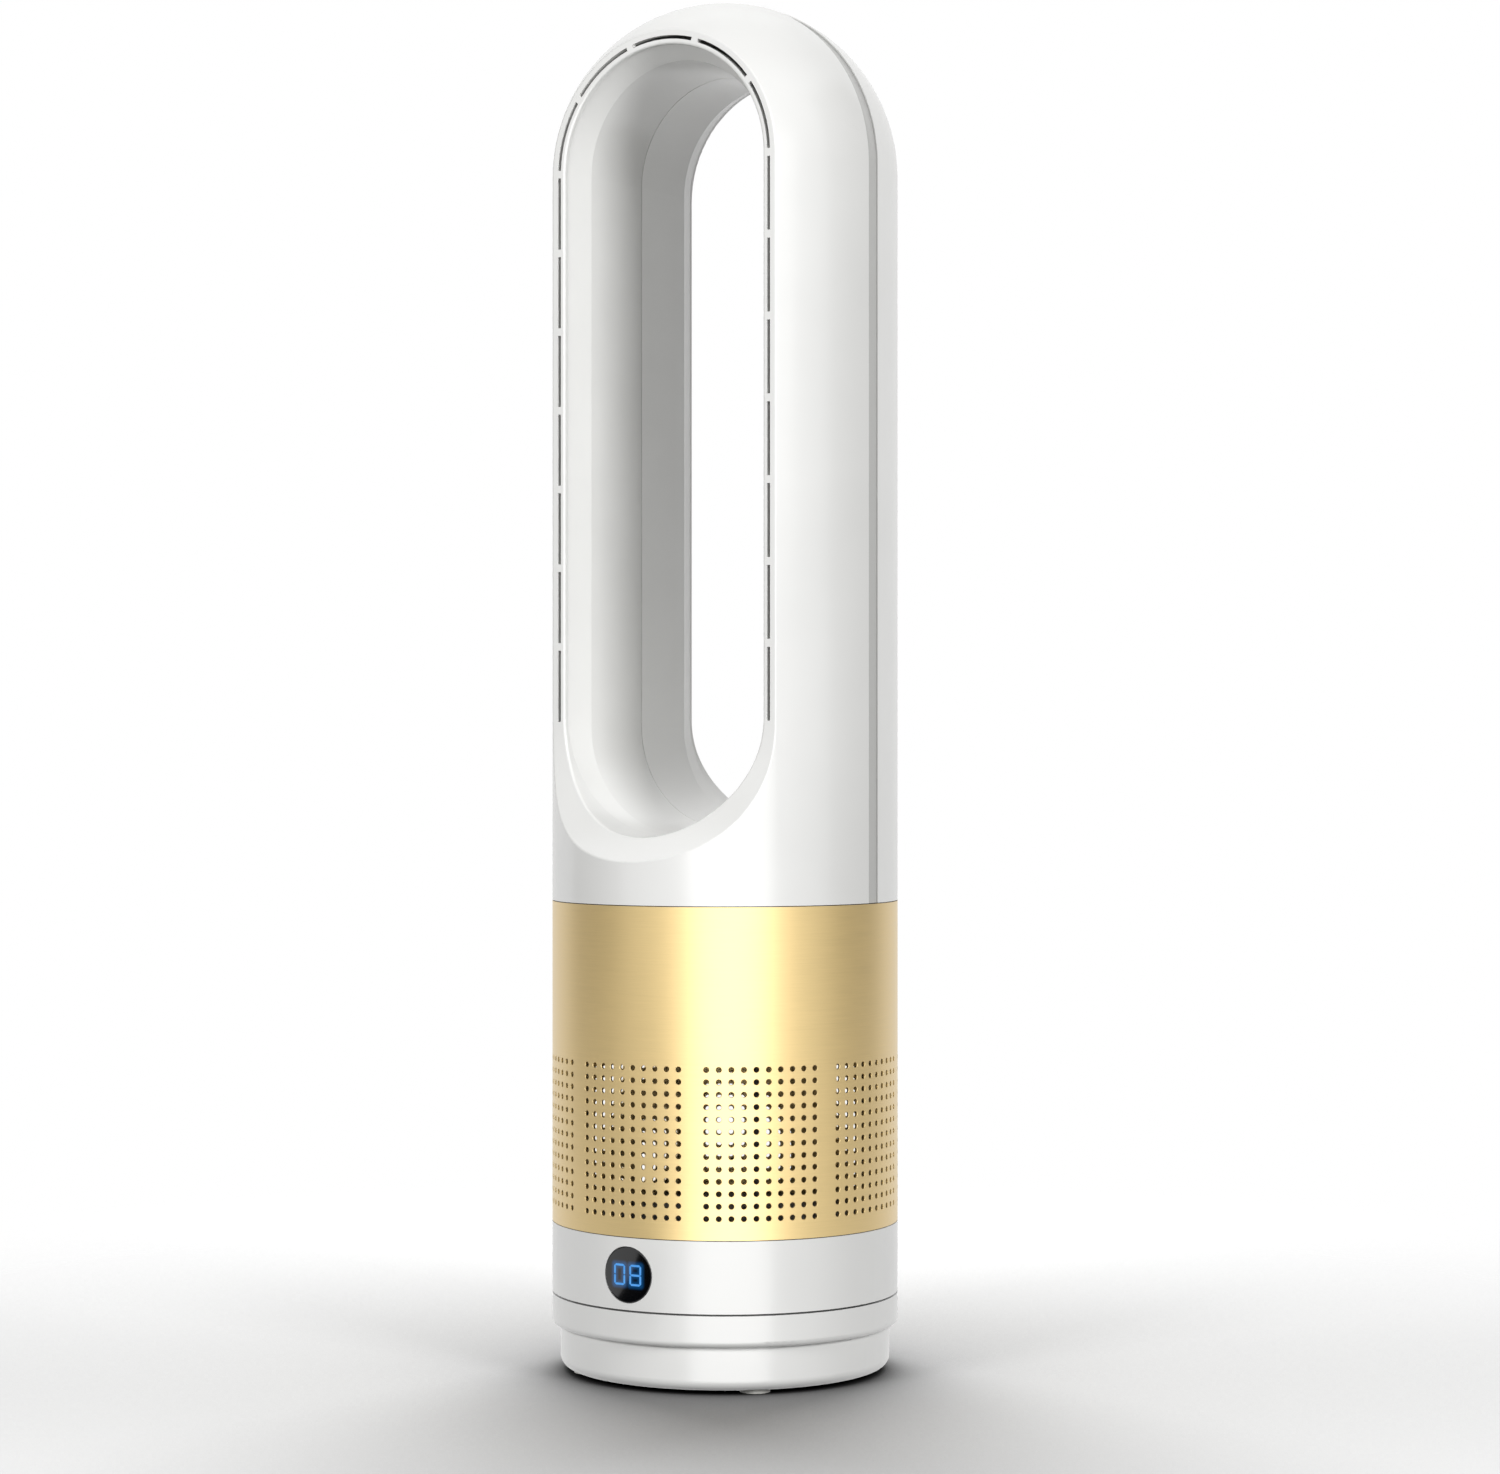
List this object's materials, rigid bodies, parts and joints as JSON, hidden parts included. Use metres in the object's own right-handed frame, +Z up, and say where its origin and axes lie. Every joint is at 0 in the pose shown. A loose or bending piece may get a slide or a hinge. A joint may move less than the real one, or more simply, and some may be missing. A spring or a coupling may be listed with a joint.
{
  "type": "bladeless tower fan",
  "caption": "Bladeless tower fan: a tall rounded air loop on a round perforated intake body, with a control band, a digital display and a swivelling foot.",
  "frame": {"origin": "on the floor, at the middle of the round foot", "axes": "+Z up, front with the display and the air slots towards -Y, +X to the right seen from the front"},
  "size_m": [0.165, 0.165, 0.6508],
  "materials": {
    "white_abs": "glossy moulded white ABS",
    "champagne_metal": "perforated sheet with a satin champagne-gold finish",
    "black_lens": "polished smoked acrylic",
    "dark_plastic": "moulded black plastic",
    "grey_plastic": "moulded light grey plastic",
    "slide_plastic": "natural acetal",
    "circuit_board": "green laminate with parts",
    "steel": "bright steel",
    "zinc_steel": "zinc-plated steel",
    "rubber": "black moulded rubber"
  },
  "bodies": {
    "base": {"base_pan": "white_abs", "base_deck": "grey_plastic", "ballast_plate": "steel", "glide_ring": "slide_plastic", "swivel_gear": "slide_plastic", "swivel_retainer": "steel", "retainer_screws": "zinc_steel", "base_screws": "zinc_steel", "rubber_feet": "rubber", "power_inlet": "dark_plastic"},
    "tower": {"turntable": "white_abs", "swivel_motor": "steel", "swivel_motor_screws": "zinc_steel", "control_band": "white_abs", "display_window": "black_lens", "digit_module": "dark_plastic", "display_board": "circuit_board", "power_board": "circuit_board", "air_plate": "dark_plastic", "tie_posts": "grey_plastic", "grille_sleeve": "champagne_metal", "fan_shroud": "grey_plastic", "diffuser": "grey_plastic", "motor_mount": "rubber", "motor_can": "steel", "motor_bearings": "steel", "stator_core": "steel", "motor_cap": "grey_plastic", "head_collar": "dark_plastic", "head_screws": "zinc_steel", "head_front_shell": "white_abs", "head_rear_shell": "white_abs"},
    "rotor": {"motor_shaft": "steel", "rotor_core": "steel", "impeller": "grey_plastic", "impeller_nut": "zinc_steel"},
    "pinion": {"drive_pinion": "slide_plastic"}
  },
  "joints": [
    {"name": "body_swivel", "type": "hinge", "parent": "base", "child": "tower", "pos_m": [0, 0, 0.031], "axis": [0, 0, 1], "range_deg": [-40, 40]},
    {"name": "impeller_spin", "type": "hinge", "parent": "tower", "child": "rotor", "pos_m": [0, 0, 0.19], "axis": [0, 0, 1], "continuous": true},
    {"name": "pinion_spin", "type": "hinge", "parent": "tower", "child": "pinion", "pos_m": [0, 0.03, 0.0275], "axis": [0, 0, 1], "range_deg": [-165, 165]}
  ],
  "couplings": [
    {"joint": "pinion_spin", "follows": "body_swivel", "ratio": 4}
  ]
}
